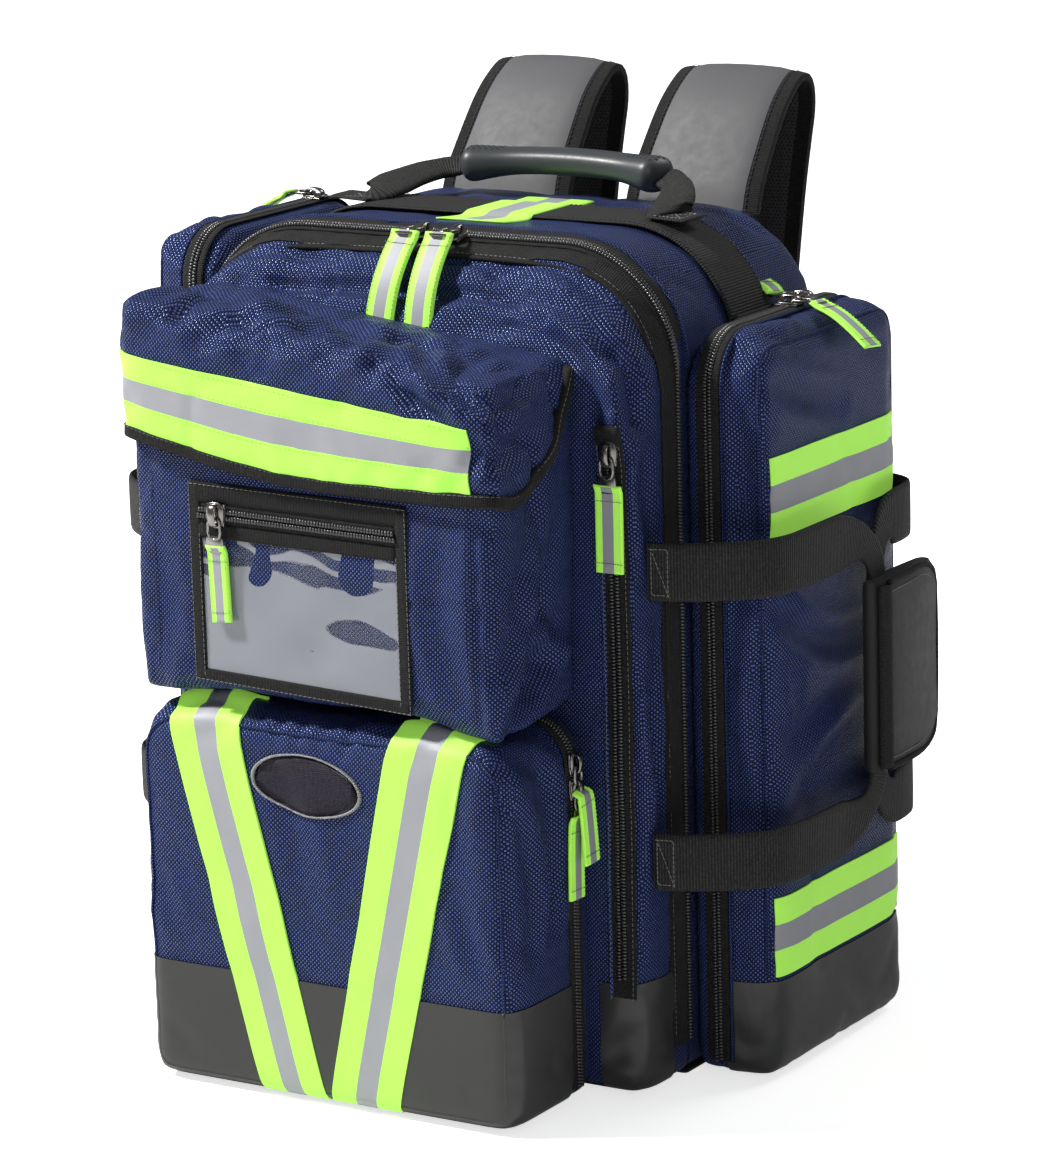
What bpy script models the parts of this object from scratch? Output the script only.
"""Trauma backpack: a clamshell medical pack with a front section, two side
pockets, an upper pocket under a flap, a lower pocket, shoulder straps, a top
carry handle and two wrapped side carry handles.

Frame: origin on the ground under the middle of the pack, +X to the right when
seen from the front, the front faces -Y, +Z up. Dimensions are in millimetres
and are turned into metres when each mesh is made. Pieces ending in _r lie on
the +X side, those ending in _l on the -X side.
"""
import bpy
import bmesh
import math
from mathutils import Vector

for old in list(bpy.data.objects):
    bpy.data.objects.remove(old, do_unlink=True)

MM = 0.001
SIDES = (("r", 1.0), ("l", -1.0))   # name suffix, sign of x

# ------------------------------------------------------------ driving sizes
GAP = 0.4                 # clearance between neighbouring pieces
WALL = 3.0                # padded wall of the main compartment and front section
POCKET_WALL = 2.4         # wall of the side and lower pockets and the flap
UPPER_WALL = 2.5          # wall of the upper pocket

BASE_THICK = 2.0
FOOT = BASE_THICK + GAP   # underside of the main compartment and side pockets

MAIN_HALF = 168.0         # half width of the main compartment
MAIN_TOP = 517.5
ARCH_R = 75.0             # radius of its two top corners
MAIN_FRONT = -83.3        # its rim
MAIN_BACK = 104.0         # its back panel
HINGE_Y = -86.2           # fold line of the clamshell

SECTION_HALF = 170.0      # half width of the front section
SECTION_TOP = 518.0
SECTION_FOOT = 4.0
SECTION_FRONT = -140.0
SECTION_REAR = -89.2      # its rim, next to the zip
SECTION_FACE = SECTION_FRONT - GAP   # rear plane of what is sewn to its front

SIDE_INNER = MAIN_HALF + GAP   # side pocket, inner face
SIDE_ZIP = 187.2               # plane of the side pocket's zip
SIDE_OUTER = 223.5             # side pocket, outer face
SIDE_FRONT, SIDE_BACK = -79.0, 102.0
SIDE_RIM_TOP = 466.0           # top of the side pocket at its zip
SIDE_LIFT = {"r": 0.0, "l": 40.0}   # the left pocket is the taller one

LOWER_HALF = 134.5        # half width of the lower pocket
LOWER_TOP = 240.0
LOWER_FRONT = -234.5
LOWER_SEAM = -161.3       # zip plane of the lower pocket
LOWER_HINGE = (0, LOWER_SEAM, 1.0)

UPPER_HALF = 131.0        # half width of the upper pocket
UPPER_BOTTOM, UPPER_TOP = 250.0, 460.0
UPPER_FRONT = -233.5

FLAP_HALF = 134.8         # half width of the flap
FLAP_FRONT = -240.5
FLAP_HINGE = (0, SECTION_FRONT - 1.2, 470.0)

TAPE_WIDTH = 50.0         # reflective tape
TAPE_THICK = 0.8

HANDLE_HINGE = (0, 11.0, 522.5)     # fold line of the top handle
STRAP_X = 70.0                      # strap centre line
STRAP_Y, STRAP_Z = 118.0, 521.0     # fold line of the shoulder straps
LOOP_FRONT = (172.4, -130.0)        # sewn edge of the front handle loop (x, y)
LOOP_REAR = (171.0, 110.0)          # sewn edge of the rear handle loop (x, y)
LOOP_ORIGIN_Z = 240

# Segment counts and edge angle
ARCH_STEPS = 6            # per corner of an arched panel
CORNER_STEPS = 4          # per corner of a pocket
SPLINE_STEPS = 2          # per span of a curve
GRIP_SIDES = 10
SHARP_ANGLE = 35.0        # degrees; steeper edges are shaded sharp


# ---------------------------------------------------------------- materials
def material(name, color, roughness, metallic=0.0, alpha=1.0):
    mat = bpy.data.materials.new(name)
    mat.use_nodes = True
    inputs = mat.node_tree.nodes["Principled BSDF"].inputs
    inputs["Base Color"].default_value = (*color, 1.0)
    inputs["Roughness"].default_value = roughness
    inputs["Metallic"].default_value = metallic
    inputs["Alpha"].default_value = alpha
    return mat


NAVY = material("navy_nylon", color=(0.022, 0.036, 0.13), roughness=0.55)
PVC = material("black_pvc", color=(0.035, 0.035, 0.038), roughness=0.45)
WEBBING = material("black_webbing", color=(0.012, 0.012, 0.012), roughness=0.8)
ZIP = material("zip_black", color=(0.01, 0.01, 0.01), roughness=0.5)
REFLEX = material("reflective_tape", color=(0.45, 0.95, 0.02), roughness=0.5)
METAL = material("gunmetal", color=(0.18, 0.17, 0.16), roughness=0.3, metallic=1.0)
VINYL = material("clear_vinyl", color=(0.8, 0.82, 0.85), roughness=0.1, alpha=0.35)
PAD = material("strap_pad", color=(0.09, 0.09, 0.095), roughness=0.7)
MESH = material("air_mesh", color=(0.015, 0.015, 0.015), roughness=0.9)
RUBBER = material("grip_rubber", color=(0.04, 0.045, 0.05), roughness=0.45)
SHEET = material("stiffener_sheet", color=(0.8, 0.8, 0.78), roughness=0.4)
LINER = material("divider_fabric", color=(0.05, 0.055, 0.06), roughness=0.8)
PLASTIC = material("black_acetal", color=(0.015, 0.015, 0.015), roughness=0.35)


# ------------------------------------------------------------------- bodies
def solid(name, verts, faces, mat, origin=(0.0, 0.0, 0.0)):
    """One closed body from vertices in millimetres, with its own origin."""
    origin = Vector(origin)
    mesh = bpy.data.meshes.new(name)
    mesh.from_pydata([tuple((Vector(v) - origin) * MM) for v in verts], [], faces)
    bm = bmesh.new()
    bm.from_mesh(mesh)
    bmesh.ops.remove_doubles(bm, verts=bm.verts, dist=0.00001)
    bmesh.ops.recalc_face_normals(bm, faces=bm.faces)
    bm.to_mesh(mesh)
    bm.free()
    mesh.materials.append(mat)
    mesh.shade_smooth()
    mesh.set_sharp_from_angle(angle=math.radians(SHARP_ANGLE))
    obj = bpy.data.objects.new(name, mesh)
    obj.location = origin * MM
    bpy.context.scene.collection.objects.link(obj)
    return obj


def loft(name, rings, mat, closed=False, **kw):
    """Skin over equal rings; the two end rings are capped unless closed."""
    size, count = len(rings[0]), len(rings)
    verts = [p for ring in rings for p in ring]
    faces = []
    for i in range(count if closed else count - 1):
        a, b = i * size, ((i + 1) % count) * size
        for j in range(size):
            k = (j + 1) % size
            faces.append((a + j, a + k, b + k, b + j))
    if not closed:
        faces.append(tuple(range(size)))
        faces.append(tuple(range((count - 1) * size, count * size)))
    return solid(name, verts, faces, mat, **kw)


def tray(name, outer, inner, mat, **kw):
    """An open shell; both skins are listed from the rim to the closed end."""
    return loft(name, list(reversed(outer)) + inner, mat, **kw)


def rect(x0, x1, y0, y1):
    return [(x0, y0), (x1, y0), (x1, y1), (x0, y1)]


UNIT_RECT = rect(-1, 1, -1, 1)


def block(name, x0, x1, y0, y1, z0, z1, mat, **kw):
    plan = rect(x0, x1, y0, y1)
    return loft(name, [at_z(plan, z0), at_z(plan, z1)], mat, **kw)


def ring_prism(name, outer, inner, place, start, end, mat, **kw):
    """A frame: the area between two equal-count outlines, from start to end."""
    rings = [[place(p, depth) for p in outline] for outline, depth in
             ((outer, start), (outer, end), (inner, end), (inner, start))]
    return loft(name, rings, mat, closed=True, **kw)


# ----------------------------------------------------------------- outlines
def at_x(points, x):
    return [(x, y, z) for y, z in points]


def at_y(points, y):
    return [(x, y, z) for x, z in points]


def at_z(points, z):
    return [(x, y, z) for x, y in points]


def arc(cx, cy, radius, start, end, steps):
    """Points on a circle between two angles in degrees."""
    angles = [math.radians(start + (end - start) * i / steps) for i in range(steps + 1)]
    return [(cx + radius * math.cos(a), cy + radius * math.sin(a)) for a in angles]


def arch(half, top, radius, foot):
    """Outline of an arched panel: square foot, two rounded top corners."""
    return ([(-half, foot), (half, foot)]
            + arc(half - radius, top - radius, radius, 0, 90, ARCH_STEPS)
            + arc(-half + radius, top - radius, radius, 90, 180, ARCH_STEPS))


def round_rect(x0, x1, z0, z1, r_top, r_foot):
    return (arc(x0 + r_foot, z0 + r_foot, r_foot, 180, 270, CORNER_STEPS)
            + arc(x1 - r_foot, z0 + r_foot, r_foot, 270, 360, CORNER_STEPS)
            + arc(x1 - r_top, z1 - r_top, r_top, 0, 90, CORNER_STEPS)
            + arc(x0 + r_top, z1 - r_top, r_top, 90, 180, CORNER_STEPS))


def arch_line(half, top, radius, foot, start):
    """Open line up one side, over the arch and down; start is the angle at
    which the corner begins. A line that starts inside a corner has no legs."""
    right, left = ([], []) if start else ([(half, foot)], [(-half, foot)])
    return (right + arc(half - radius, top - radius, radius, start, 90, ARCH_STEPS)
            + arc(-half + radius, top - radius, radius, 90, 180 - start, ARCH_STEPS) + left)


def arch_strip(name, half_in, half_out, top, radius, foot, y0, y1, mat):
    """A band of tape or webbing that runs up one side, over the arch and down.
    Top and radius are those of its outer line."""
    thick = half_out - half_in
    rise = max(foot - (top - radius), 0.0)
    start = math.degrees(math.asin(min(rise / radius, 1.0)))
    inner = arch_line(half_in, top - thick, radius - thick, foot, start)
    outer = arch_line(half_out, top, radius, foot, start)
    rings = [[(a[0], y0, a[1]), (b[0], y0, b[1]), (b[0], y1, b[1]), (a[0], y1, a[1])]
             for a, b in zip(inner, outer)]
    return loft(name, rings, mat)


# ------------------------------------------------------------------- curves
def spline(points):
    """Catmull-Rom curve through a few control points."""
    pts = [Vector(p) for p in points]
    pts = [2 * pts[0] - pts[1]] + pts + [2 * pts[-1] - pts[-2]]
    curve = []
    for i in range(1, len(pts) - 2):
        p0, p1, p2, p3 = pts[i - 1:i + 3]
        for step in range(SPLINE_STEPS):
            t = step / SPLINE_STEPS
            curve.append(0.5 * ((2 * p1) + (p2 - p0) * t
                                + (2 * p0 - 5 * p1 + 4 * p2 - p3) * t * t
                                + (3 * p1 - 3 * p2 + p3 - p0) * t ** 3))
    curve.append(pts[-2])
    return curve


def tangent(path, i):
    return (path[min(i + 1, len(path) - 1)] - path[max(i - 1, 0)]).normalized()


def strap_rings(path, width_start, width_end, thick):
    """Rectangular rings along a path, with the width along X."""
    across = Vector((1, 0, 0))
    rings = []
    for i, p in enumerate(path):
        normal = across.cross(tangent(path, i)).normalized()
        width = width_start + (width_end - width_start) * i / (len(path) - 1)
        rings.append([tuple(p + across * (u * width / 2) + normal * (v * thick / 2))
                      for u, v in UNIT_RECT])
    return rings


def upright_rings(path, section):
    """Rings of a cross-section (across, up) along a path, kept upright."""
    up = Vector((0, 0, 1))
    rings = []
    for i, p in enumerate(path):
        along = tangent(path, i)
        normal = (up - along * up.dot(along)).normalized()
        across = along.cross(normal)
        rings.append([tuple(p + across * u + normal * v) for u, v in section])
    return rings


# --------------------------------------------------------- main compartment
def main_ring(y, inset, radius_inset, foot=FOOT + WALL):
    return at_y(arch(MAIN_HALF - inset, MAIN_TOP - inset, ARCH_R - radius_inset, foot), y)


def main_shell():
    outer = [main_ring(MAIN_FRONT, 0, 0, FOOT),
             main_ring(MAIN_BACK - 8, 0, 0, FOOT),
             main_ring(MAIN_BACK, 8, 6, FOOT)]
    inner = [main_ring(MAIN_FRONT, WALL, WALL),
             main_ring(MAIN_BACK - 9, WALL, WALL),
             main_ring(MAIN_BACK - WALL, 12, 8)]
    tray("main_shell", outer, inner, NAVY)
    block("base_panel", -166, 166, MAIN_FRONT + 0.3, 98, 0, BASE_THICK, PVC)


def back_panel():
    """Stiffener sheet inside the back wall and the pad outside it."""
    sheet = arch(152, 488, 70, 12)
    loft("frame_sheet", [at_y(sheet, 98.0), at_y(sheet, 100.2)], SHEET)
    pad = arch(150, 488, 60, 25)
    loft("back_pad", [at_y(pad, MAIN_BACK + GAP), at_y(pad, 112),
                      at_y(arch(144, 482, 56, 31), 116)], MESH)


def dividers():
    half, thick = 163.8, 6
    for tag, z in (("upper", 330), ("lower", 165)):
        block("divider_" + tag, -half, half, -62, 94.4, z, z + thick, LINER)


def arch_bands():
    """Webbing over the top corners, and the two halves of the main zip."""
    lift = 2.7
    arch_strip("hoop_webbing", MAIN_HALF + 0.9, MAIN_HALF + lift, MAIN_TOP + lift,
               ARCH_R + lift, foot=470, y0=-14, y1=36, mat=WEBBING)
    for name, y0, y1 in (("main_zip_rear", HINGE_Y + GAP / 2, MAIN_FRONT - GAP),
                         ("lid_zip", SECTION_REAR + 0.3, HINGE_Y - GAP / 2)):
        arch_strip(name, MAIN_HALF - 8, MAIN_HALF + 0.8, MAIN_TOP + 1.0,
                   ARCH_R + 0.8, foot=28, y0=y0, y1=y1, mat=ZIP)


main_shell()
back_panel()
dividers()
arch_bands()

# ------------------------------------------------------------- side pockets
# Stations: x, front inset, back inset, foot, top, top radius, foot radius
SIDE_BASE = [(SIDE_ZIP - 0.2, 0, 0, FOOT, SIDE_RIM_TOP, 34, 8),
             (SIDE_INNER, -1.5, 0, FOOT, 463, 34, 8)]
SIDE_LID = [(SIDE_ZIP + 0.2, 0, 0, FOOT, SIDE_RIM_TOP, 34, 8),
            (206, 2, 0, FOOT, 463, 26, 8),
            (219.5, 6, 2, 3.5, 459, 14, 8),
            (SIDE_OUTER, 10, 6, 7, 455, 10, 6)]
SIDE_LID_INNER_END = (SIDE_OUTER - POCKET_WALL, 13, 9, 10, 452, 8, 5)


def side_inner(station, x):
    """The inner skin's station at x, one wall inside an outer station."""
    _, front, back, foot, top, r_top, _ = station
    wall = POCKET_WALL
    return (x, front + wall, back + wall, foot + wall, top - wall, r_top - wall, 6)


def side_rings(stations, sign, lift):
    return [at_x(round_rect(SIDE_FRONT + front, SIDE_BACK - back, foot, top + lift,
                            r_top, r_foot), sign * x)
            for x, front, back, foot, top, r_top, r_foot in stations]


def side_pocket(side, sign):
    lift = SIDE_LIFT[side]
    base_inner = [side_inner(SIDE_BASE[0], SIDE_BASE[0][0]),
                  side_inner(SIDE_BASE[1], SIDE_INNER + POCKET_WALL)]
    lid_inner = [side_inner(SIDE_LID[0], SIDE_LID[0][0]),
                 side_inner(SIDE_LID[1], SIDE_LID[1][0]),
                 side_inner(SIDE_LID[2], 217),
                 SIDE_LID_INNER_END]
    for part, outer, inner in (("base", SIDE_BASE, base_inner), ("lid", SIDE_LID, lid_inner)):
        tray("side_%s_%s" % (part, side), side_rings(outer, sign, lift),
             side_rings(inner, sign, lift), NAVY)
    x = SIDE_OUTER + GAP
    for tag, z in (("upper", 342.0), ("lower", 67.0)):
        block("side_tape_%s_%s" % (tag, side), sign * x, sign * (x + TAPE_THICK),
              -68, 95, z, z + TAPE_WIDTH, REFLEX)


for side, sign in SIDES:
    side_pocket(side, sign)

# ------------------------------------------------------------ front section
# y, side inset, top inset: the front of the top slopes down as a shoulder
SHOULDER = [(SECTION_REAR, 0.0, 0.0), (-104.0, 0.0, 2.0), (-116.0, 0.0, 8.0),
            (-128.0, 0.4, 20.0), (-136.0, 1.2, 34.0), (SECTION_FRONT, 3.0, 48.0)]
SHOULDER_INNER = ([(y, side_inset + WALL, top_inset + WALL)
                   for y, side_inset, top_inset in SHOULDER[:4]]
                  + [(-133.5, 5.0, 40.0), (-136.8, 7.0, 54.0)])


def section_rings(stations, radius, foot):
    return [at_y(arch(SECTION_HALF - side_inset, SECTION_TOP - top_inset, radius, foot), y)
            for y, side_inset, top_inset in stations]


def front_section():
    tray("lid_shell", section_rings(SHOULDER, ARCH_R, SECTION_FOOT),
         section_rings(SHOULDER_INNER, ARCH_R - WALL, SECTION_FOOT + WALL),
         NAVY, origin=(0, HINGE_Y, 0))
    block("slot_zip", 149.5, 166.0, SECTION_FRONT - 1.5, SECTION_FACE, 74, 418, ZIP)


def section_boot():
    """U-shaped boot under the foot and up both sides of the front section."""
    inner = SECTION_HALF + GAP
    outer = inner + 1.0
    bottom, floor, top = 1.6, 3.4, 74
    outline = [(-outer, bottom), (outer, bottom), (outer, top), (inner, top),
               (inner, floor), (-inner, floor), (-inner, top), (-outer, top)]
    loft("lid_boot", [at_y(outline, -137.5), at_y(outline, -90.0)], PVC)


front_section()
section_boot()

# ------------------------------------------------------------- upper pocket
# Stations from the open top down: side inset, front inset, z, corner radius
UPPER_OUTER = [(3, 2.5, UPPER_TOP, 16), (0, 0, 405, 16),
               (0, 0, UPPER_BOTTOM + 5, 16), (4, 4, UPPER_BOTTOM, 14)]
UPPER_INNER = [(5.5, 5, UPPER_TOP, 14), (2.5, 2.5, 405, 14),
               (6, 6, UPPER_BOTTOM + 2.6, 12)]


def upper_rings(stations, rear):
    """Level rings with rounded front corners and a straight rear edge."""
    rings = []
    for side_inset, front_inset, z, radius in stations:
        half, front = UPPER_HALF - side_inset, UPPER_FRONT + front_inset
        plan = (arc(-half + radius, front + radius, radius, 180, 270, CORNER_STEPS)
                + arc(half - radius, front + radius, radius, 270, 360, CORNER_STEPS)
                + [(half, rear), (-half, rear)])
        rings.append(at_z(plan, z))
    return rings


def upper_pocket():
    tray("upper_pocket", upper_rings(UPPER_OUTER, SECTION_FACE),
         upper_rings(UPPER_INNER, SECTION_FACE - UPPER_WALL), NAVY)


def card_window():
    """Frame and clear pane on the front of the upper pocket."""
    x0, x1, z0, z1 = -76, 63, 270, 350
    ring_prism("id_frame", rect(-85, 72, 261, 381), rect(x0, x1, z0, z1),
               lambda p, y: (p[0], y, p[1]), -237.0, UPPER_FRONT - GAP, WEBBING)
    block("id_window", x0 + GAP, x1 - GAP, -236.0, -235.2, z0 + GAP, z1 - GAP, VINYL)


def flap():
    """Top, front and two side cheeks; a cutter opens it below and behind."""
    wall, front = POCKET_WALL, FLAP_FRONT
    rear, top = FLAP_HINGE[1] - GAP, FLAP_HINGE[2] - GAP
    # side outlines (y, z)
    cheek = [(rear, top), (-229, top - 1), (-237.5, top - 4.5), (front, top - 11),
             (front, 388), (-214, 382.5), (-186, 385), (-165, 398), (-150, 420), (rear, 446)]
    hollow = [(rear + 20, top - wall), (-229, top - 1 - wall), (-236, top - 6),
              (front + wall, top - 12), (front + wall, 350), (rear + 20, 350)]
    panel = loft("flap_panel", [at_x(cheek, -FLAP_HALF), at_x(cheek, FLAP_HALF)], NAVY,
                 origin=FLAP_HINGE)
    half = FLAP_HALF - wall
    cutter = loft("flap_hollow", [at_x(hollow, -half), at_x(hollow, half)], NAVY)
    cutter.hide_render = True
    cutter.display_type = 'WIRE'
    cut = panel.modifiers.new("hollow", 'BOOLEAN')
    cut.operation = 'DIFFERENCE'
    cut.object = cutter

    tape_rear = front - GAP
    block("flap_tape", -116, 116, tape_rear - TAPE_THICK, tape_rear, 395, 395 + TAPE_WIDTH,
          REFLEX, origin=FLAP_HINGE)


upper_pocket()
card_window()
flap()

# ------------------------------------------------------------- lower pocket
BOOT_THICK = 1.1
BOOT_REAR = -163.4
BOOT_TOP = 78.0
BOOT_FLOOR, BOOT_BOTTOM = 1.6, 0.5
BOOT_INNER_HALF = LOWER_HALF + GAP
BOOT_INNER_FRONT = LOWER_FRONT - GAP
BOOT_HALF = BOOT_INNER_HALF + BOOT_THICK
BOOT_FRONT = BOOT_INNER_FRONT - BOOT_THICK


def lower_rings(stations, foot):
    """Upright rings; a station is y, inset, top radius, foot radius."""
    return [at_y(round_rect(-LOWER_HALF + inset, LOWER_HALF - inset, foot + inset * 0.3,
                            LOWER_TOP - inset, r_top, r_foot), y)
            for y, inset, r_top, r_foot in stations]


def lower_pocket():
    wall, foot, inner_foot = POCKET_WALL, 2.0, 4.0
    rim = LOWER_SEAM + 0.9
    tray("lp_base",
         lower_rings([(rim, 0, 22, 10), (SECTION_FACE, 0, 22, 10)], foot),
         lower_rings([(rim, wall, 20, 8), (SECTION_FACE - wall, wall, 20, 8)], inner_foot),
         NAVY)
    rim = LOWER_SEAM - 1.1
    tray("lp_panel",
         lower_rings([(rim, 0, 22, 10), (-222, 0, 22, 10),
                      (-231, 3, 22, 10), (LOWER_FRONT, 9, 22, 10)], foot),
         lower_rings([(rim, wall, 20, 8), (-221, wall, 20, 8),
                      (-228.5, 5.5, 18, 8), (LOWER_FRONT + wall, 11, 16, 8)], inner_foot),
         NAVY, origin=LOWER_HINGE)


def lower_boot():
    """Boot round the foot of the lower pocket: front, two sides and bottom,
    open at the rear."""
    outside = [(-BOOT_HALF, BOOT_REAR), (-BOOT_HALF, BOOT_FRONT),
               (BOOT_HALF, BOOT_FRONT), (BOOT_HALF, BOOT_REAR)]
    inside = [(BOOT_INNER_HALF, BOOT_REAR), (BOOT_INNER_HALF, BOOT_INNER_FRONT),
              (-BOOT_INNER_HALF, BOOT_INNER_FRONT), (-BOOT_INNER_HALF, BOOT_REAR)]
    wall = outside + inside
    # vertices 0-7 at the top, 8-15 at the floor, 16-19 at the bottom
    verts = at_z(wall, BOOT_TOP) + at_z(wall, BOOT_FLOOR) + at_z(outside, BOOT_BOTTOM)
    faces = [tuple(range(8))]
    for j in range(8):
        k = (j + 1) % 8
        faces.append((j, k, 8 + k, 8 + j))
    faces += [(12, 13, 14, 15),                                    # inner floor
              (8, 9, 17, 16), (9, 10, 18, 17), (10, 11, 19, 18),   # outer edges
              (16, 17, 18, 19),                                    # underside
              (8, 16, 19, 11, 12, 15)]                             # rear edge
    solid("lp_boot", verts, faces, PVC, origin=LOWER_HINGE)


def lower_tapes():
    """Two slanted tapes that spread towards the top; outlines are (x, z)."""
    rear = BOOT_FRONT - GAP
    for side, outline in (("l", [(-48.5, 5), (-1.2, 5), (-57.5, 237), (-109, 237)]),
                          ("r", [(1.2, 5), (51.0, 5), (108, 237), (53, 237)])):
        loft("lp_tape_" + side, [at_y(outline, rear - TAPE_THICK), at_y(outline, rear)],
             REFLEX, origin=LOWER_HINGE)


lower_pocket()
lower_boot()
lower_tapes()

# -------------------------------------------------------- sliders and pulls
# Slider side outlines (along the pull, away from the cloth)
SLIDER_OUTER = [(-6, 0), (6, 0), (6, 2.2), (4.4, 2.6), (4.2, 5.0), (2.6, 5.6),
                (-2.6, 5.6), (-4.2, 5.0), (-4.4, 2.6), (-6, 2.2)]
SLIDER_INNER = [(-2.9, 2.6), (2.9, 2.6), (3.1, 2.8), (3.1, 3.4), (3.1, 4.0), (2.6, 4.4),
                (-2.6, 4.4), (-3.1, 4.0), (-3.1, 3.4), (-3.1, 2.8)]
SLIDER_HALF = 4.5

# The pull's rectangular eye (along, across)
EYE_HALF = 6.3
EYE_OUTER = rect(1.0, 10.2, -EYE_HALF, EYE_HALF)
EYE_INNER = rect(2.2, 8.6, -5.1, 5.1)
EYE_HALF_THICK = 0.5
TAB_HALF_THICK = 0.9
PIN_ALONG, PIN_HEIGHT = 1.6, 3.5   # centre of the eye's bar, inside the bridge


def slider_frame(seat, along, out):
    """Placing function (along, away from the cloth, across) for a slider."""
    seat, along, out = Vector(seat), Vector(along), Vector(out)
    across = out.cross(along)
    return lambda a, h, w: tuple(seat + along * a + out * h + across * w)


def slider(name, seat, along, out):
    """Flat body with a hollow bridge over it."""
    place = slider_frame(seat, along, out)
    ring_prism(name, SLIDER_OUTER, SLIDER_INNER, lambda p, w: place(p[0], p[1], w),
               -SLIDER_HALF, SLIDER_HALF, METAL, origin=seat)


def pull(name, seat, along, out, tab, tab_half):
    """An eye through the bridge and a tab that hangs along the tab points
    (along, away from the cloth)."""
    place = slider_frame(seat, along, out)
    verts = [place(a, h, w)
             for h in (PIN_HEIGHT - EYE_HALF_THICK, PIN_HEIGHT + EYE_HALF_THICK)
             for a, w in EYE_OUTER + EYE_INNER]
    faces = []
    for j in range(4):
        k = (j + 1) % 4
        faces.append((j, k, 4 + k, 4 + j))                  # lower face
        faces.append((8 + j, 8 + k, 12 + k, 12 + j))        # upper face
        if j != 1:                                          # the tab joins at side 1
            faces.append((j, k, 8 + k, 8 + j))              # outer rim
        faces.append((4 + j, 4 + k, 12 + k, 12 + j))        # inner rim
    last = (1, 2, 10, 9)
    curve = spline([(a, h, 0.0) for a, h in tab])
    for i, p in enumerate(curve):
        t = tangent(curve, i)
        half, thick = (tab_half, TAB_HALF_THICK) if i else (EYE_HALF, EYE_HALF_THICK)
        base = len(verts)
        verts += [place(p.x - t.y * v * thick, p.y + t.x * v * thick, u * half)
                  for u, v in UNIT_RECT]
        ring = (base, base + 1, base + 2, base + 3)
        for j in range(4):
            k = (j + 1) % 4
            faces.append((last[j], last[k], ring[k], ring[j]))
        last = ring
    faces.append(last)
    solid(name, verts, faces, REFLEX, origin=place(PIN_ALONG, PIN_HEIGHT, 0))


def slider_and_pull(name, seat, along, out, tab, tab_half=8.0):
    """Both pieces; name has a %s where 'slider' or 'pull' goes."""
    slider(name % "slider", seat, along, out)
    pull(name % "pull", seat, along, out, tab, tab_half)


FORWARD, DOWN, UP, RIGHT = (0, -1, 0), (0, 0, -1), (0, 0, 1), (1, 0, 0)

# Tab points (along, away from the cloth)
MAIN_TAB = [(12, 3.4), (17, 2.6), (26, -3.4), (35, -12.5), (42.5, -24.5), (46.5, -37.0)]
WINDOW_TAB = [(12, 3.2), (20, 2.2), (42, 2.0), (66, 2.0)]
SLOT_TAB = [(12, 3.2), (20, 2.4), (44, 2.2), (72, 2.2)]
LOWER_TAB_A = [(12, 6.4), (20, 8.8), (34, 9.2), (62, 9.2)]   # lies over slider b
LOWER_TAB_B = [(12, 3.2), (20, 2.8), (40, 2.6), (68, 2.6)]
SIDE_TAB = [(12, 3.4), (18, 3.0), (32, 1.2), (52, -1.4)]

# Main zip: both sliders near the middle of the top, pulls over the front
for tag, x in (("l", -4.0), ("r", 19.0)):
    slider_and_pull("main_%s_" + tag, (x, -91.0, 519.3), FORWARD, UP, MAIN_TAB)

slider_and_pull("window_%s", (-63, -237.5, 366), DOWN, FORWARD, WINDOW_TAB, tab_half=7.0)
slider_and_pull("slot_%s", (157.8, -142.0, 404), DOWN, FORWARD, SLOT_TAB)

# Lower pocket zip: two sliders one above the other on the right side
for tag, z, tab in (("a", 216, LOWER_TAB_A), ("b", 200, LOWER_TAB_B)):
    slider_and_pull("lp_%s_" + tag, (LOWER_HALF + GAP, -160.6, z), DOWN, RIGHT, tab,
                    tab_half=7.0)

SIDE_SLIDER_Y = {"r": 26.0, "l": 62.0}
for side, sign in SIDES:
    seat = (sign * SIDE_ZIP, SIDE_SLIDER_Y[side], SIDE_RIM_TOP + 0.5 + SIDE_LIFT[side])
    slider_and_pull("side_%s_" + side, seat, (sign, 0, 0), UP, SIDE_TAB)

# --------------------------------------------------------------- top handle
# Centre line (x, y, z) from left to right; it lies back over the top
HANDLE_LINE = [(-105, 13.2, HANDLE_HINGE[2]), (-101, 32, 524), (-91, 56, 527.5),
               (-73, 71, 530), (-38, 77.5, 532), (0, 79.5, 533), (38, 77.5, 532),
               (73, 71, 530), (91, 56, 527.5), (101, 32, 524),
               (105, 13.2, HANDLE_HINGE[2])]


def ellipse(half_across, half_up):
    angles = [math.tau * k / GRIP_SIDES for k in range(GRIP_SIDES)]
    return [(half_across * math.cos(a), half_up * math.sin(a)) for a in angles]


def top_handle():
    """A webbing strip and a tubular grip round its middle."""
    section = rect(-6.0, 6.0, -1.5, 1.5)
    loft("handle_webbing", upright_rings(spline(HANDLE_LINE), section), WEBBING,
         origin=HANDLE_HINGE)
    core = spline(HANDLE_LINE[3:8])
    outer = upright_rings(core, ellipse(10.5, 8.6))
    inner = upright_rings(core, ellipse(8.2, 4.2))
    loft("handle_grip", outer + list(reversed(inner)), RUBBER, closed=True,
         origin=HANDLE_HINGE)


top_handle()

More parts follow.
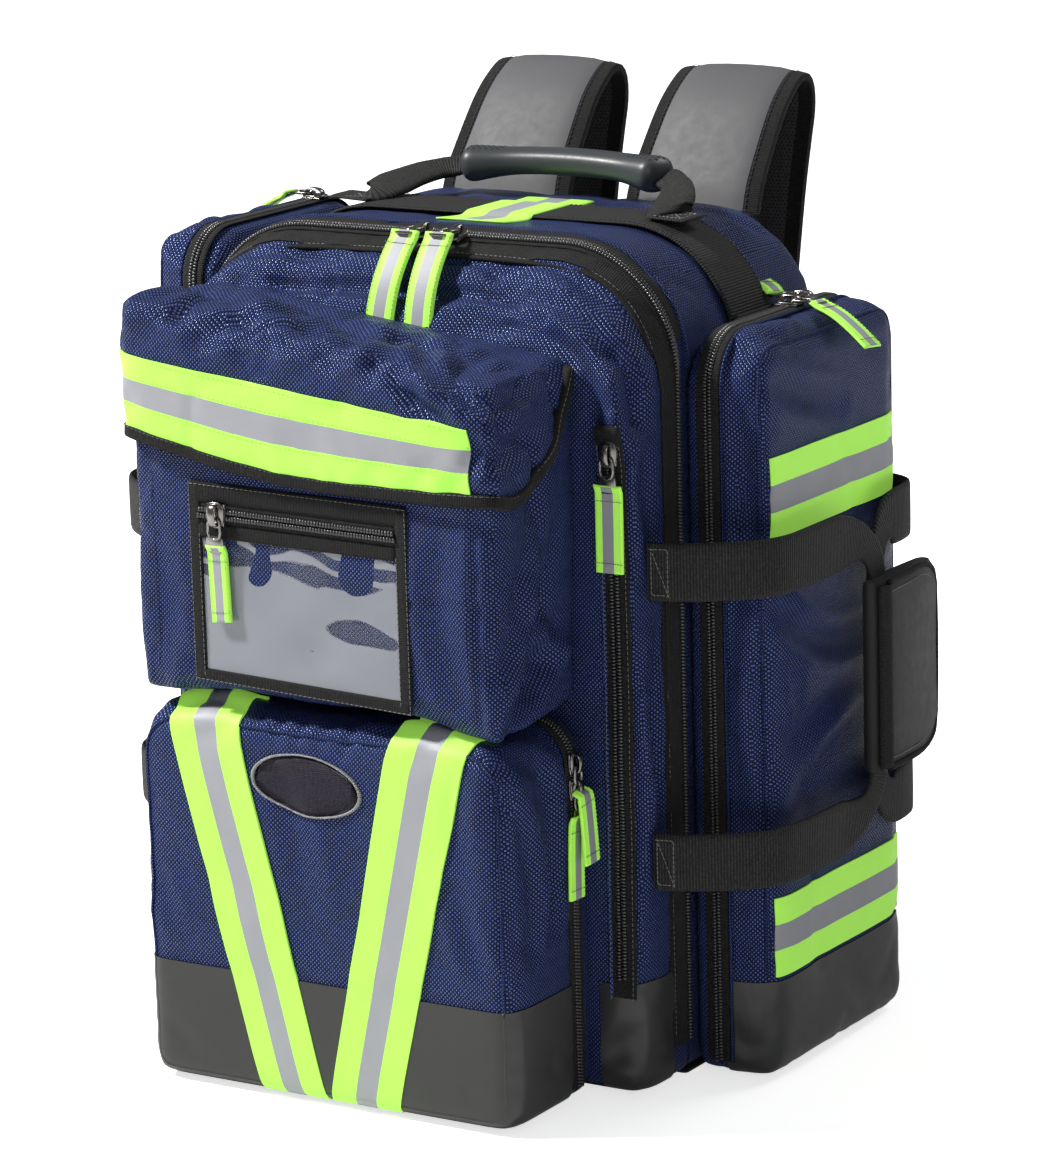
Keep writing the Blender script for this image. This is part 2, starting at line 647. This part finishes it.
# ---------------------------------------------------------- shoulder straps
# Centre line of the pad (y, z): up and over from the back panel, then down
STRAP_LINE = [(118, 523.5), (132, 543), (152, 567), (170, 581), (184, 586.5),
              (194, 580), (196.5, 564), (192, 543), (185, 510), (176, 450),
              (168, 390), (162, 330), (157, 270)]
STRAP_WEB_DIRECTION = (0, -0.2, -0.98)   # of the lower strap webbing
WEB_STATIONS = (-70.0, 0.0, 60.0, 120.0, 178.0)   # along the webbing, from the pad's end
WEB_OFFSET = 10.2                        # webbing from the pad's centre line
LOCK_ALONG = 15.0                        # ladder lock, below the pad's end
LOCK_HALF_LENGTH = 11.0


def shoulder_strap(side, sign):
    path = [p + Vector((sign * STRAP_X, 0, 0))
            for p in spline([(0, y, z) for y, z in STRAP_LINE])]
    loft("strap_pad_" + side, strap_rings(path, 98.0, 68.0, thick=11.0), PAD,
         origin=(sign * STRAP_X, STRAP_Y, STRAP_Z))

    # the webbing runs behind the pad's end, through the ladder lock
    down = Vector(STRAP_WEB_DIRECTION).normalized()
    normal = Vector((0, -down.z, down.y))
    start = path[-1] + normal * WEB_OFFSET
    web = [start + down * distance for distance in WEB_STATIONS]
    loft("strap_webbing_" + side, strap_rings(web, 25.0, 25.0, thick=1.6), WEBBING,
         origin=tuple(start))

    centre = start + down * LOCK_ALONG
    ring_prism("ladder_lock_" + side, rect(-17, 17, -4.0, 4.0), rect(-13.2, 13.2, -1.5, 1.5),
               lambda p, d: tuple(centre + Vector((p[0], 0, 0)) + normal * p[1] + down * d),
               -LOCK_HALF_LENGTH, LOCK_HALF_LENGTH, PLASTIC, origin=tuple(centre))


for side, sign in SIDES:
    shoulder_strap(side, sign)

# ------------------------------------------------------- side carry handles
LOOP_THICK = 2.0
LOOP_LEVELS = (134, 168, 313, 349)   # edges of the lower and of the upper strap
SEWN_GAP = 0.2

# Plan of each loop (x, y), from its sewn edge to its upright
FRONT_RUN = [(LOOP_FRONT[0] + SEWN_GAP, LOOP_FRONT[1]), (188, -126.5), (206, -118),
             (222, -106), (233, -94), (239, -80), (241.5, -60), (242, -36),
             (242, -10), (242, 14), (242, 20), (242, 44)]
REAR_RUN = [(LOOP_REAR[0] + SEWN_GAP, LOOP_REAR[1]), (192, 110), (210, 109), (224, 104),
            (232, 95), (235.2, 82), (236, 70), (236, 64), (236, 40)]

# Plan of the wrap (x, y): a sleeve with a flat tail towards the back
WRAP_OUTER = [(238.9, 16), (238.9, 52), (240.2, 98), (242.6, 104), (247.4, 104), (249.4, 98),
              (254.5, 48), (255.5, 30), (252, 15), (246, 10.5), (241.5, 12)]
WRAP_INNER = [(240.2, 18), (240.2, 46), (240.6, 47), (241.2, 47.6), (244, 47.6), (245.4, 47),
              (246.6, 44), (246.8, 30), (246, 20), (244, 18), (241.4, 17.4)]


def carry_loop(name, run, sewn_edge, sign):
    """A C-shaped webbing loop: two straps that follow run round the side
    pocket, joined by an upright over its last span."""
    path = [Vector((x, y, 0)) for x, y in run]
    columns, rows = len(path), len(LOOP_LEVELS)
    verts = []
    for offset in (-LOOP_THICK / 2, LOOP_THICK / 2):
        for i, p in enumerate(path):
            t = tangent(path, i)
            q = p + Vector((t.y, -t.x, 0)) * offset
            verts += [(sign * q.x, q.y, z) for z in LOOP_LEVELS]

    def index(skin, column, row):
        return (skin * columns + column) * rows + row

    cells = [(i, row) for i in range(columns - 1) for row in (0, 2)] + [(columns - 2, 1)]
    faces = []
    for i, r in cells:
        for skin in (0, 1):
            faces.append((index(skin, i, r), index(skin, i + 1, r),
                          index(skin, i + 1, r + 1), index(skin, i, r + 1)))
        # an edge with no neighbouring cell is closed between the two skins
        for neighbour, a, b in (((i - 1, r), (i, r), (i, r + 1)),
                                ((i + 1, r), (i + 1, r), (i + 1, r + 1)),
                                ((i, r - 1), (i, r), (i + 1, r)),
                                ((i, r + 1), (i, r + 1), (i + 1, r + 1))):
            if neighbour not in cells:
                faces.append((index(0, *a), index(0, *b), index(1, *b), index(1, *a)))
    solid(name, verts, faces, WEBBING,
          origin=(sign * sewn_edge[0], sewn_edge[1], LOOP_ORIGIN_Z))


def side_handle(side, sign):
    carry_loop("loop_front_" + side, FRONT_RUN, LOOP_FRONT, sign)
    carry_loop("loop_rear_" + side, REAR_RUN, LOOP_REAR, sign)
    ring_prism("grip_" + side, WRAP_OUTER, WRAP_INNER, lambda p, z: (sign * p[0], p[1], z),
               181.0, 301.0, PVC, origin=(sign * LOOP_FRONT[0], LOOP_FRONT[1], LOOP_ORIGIN_Z))


for side, sign in SIDES:
    side_handle(side, sign)
